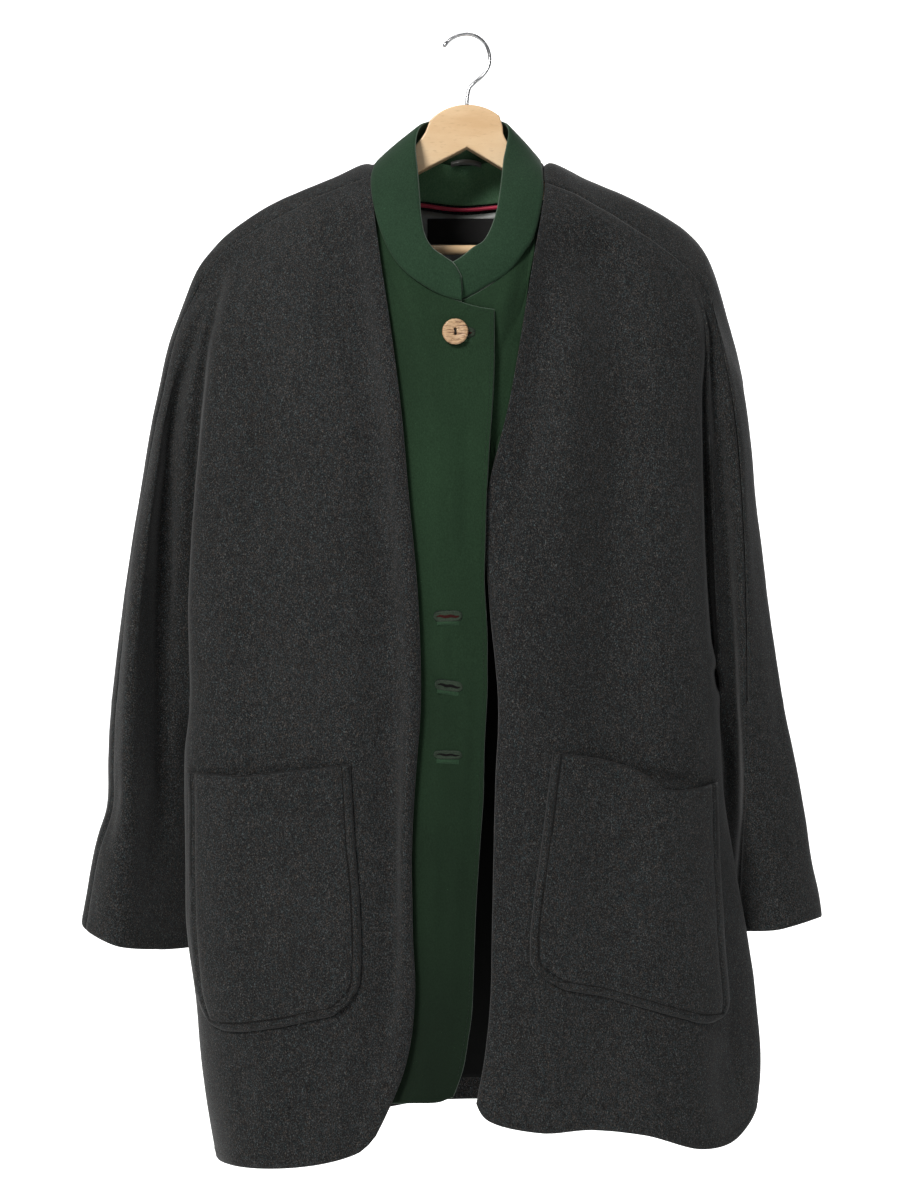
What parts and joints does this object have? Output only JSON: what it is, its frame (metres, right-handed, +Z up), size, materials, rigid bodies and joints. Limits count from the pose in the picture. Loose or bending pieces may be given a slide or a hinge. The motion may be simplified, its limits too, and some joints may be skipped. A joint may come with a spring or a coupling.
{
  "type": "trachten jacket on a hanger",
  "caption": "Grey loden folk-dress jacket with green gilet fronts, stand collar, patch pockets and wide cut-on sleeves, hanging buttoned on a wooden hanger with a wire hook.",
  "frame": {"origin": "the hang point: the inner top of the hanger's hook, where a rail carries it", "axes": "+Z up, the front of the jacket faces -Y, the viewer's left of the picture is -X; +Z runs along its longest extent, +Y along its shortest"},
  "size_m": [0.6876, 0.1813, 1.0281],
  "materials": {
    "grey_loden": "charcoal-grey fulled loden with light and dark flecks and a soft nap",
    "green_cloth": "dark green fulled wool",
    "dark_satin": "dark grey-green satin with a soft sheen",
    "label_black": "black woven satin, blank",
    "crimson_piping": "crimson corded edge",
    "staghorn": "tan staghorn, half matt, with a brown grain",
    "wood": "pale beech, clear varnish",
    "steel": "bright plated wire"
  },
  "bodies": {
    "root": {"front_right": "grey_loden", "front_left": "grey_loden", "back": "grey_loden", "pocket_right": "grey_loden", "pocket_left": "grey_loden", "placket_right": "green_cloth", "placket_left": "green_cloth", "collar": "green_cloth", "neck_facing": "green_cloth", "neck_piping": "crimson_piping", "back_lining": "dark_satin", "hanging_loop": "dark_satin", "label": "label_black", "button": "staghorn", "hanger_wood": "wood", "hanger_bar": "wood", "hanger_hook": "steel"}
  },
  "joints": []
}
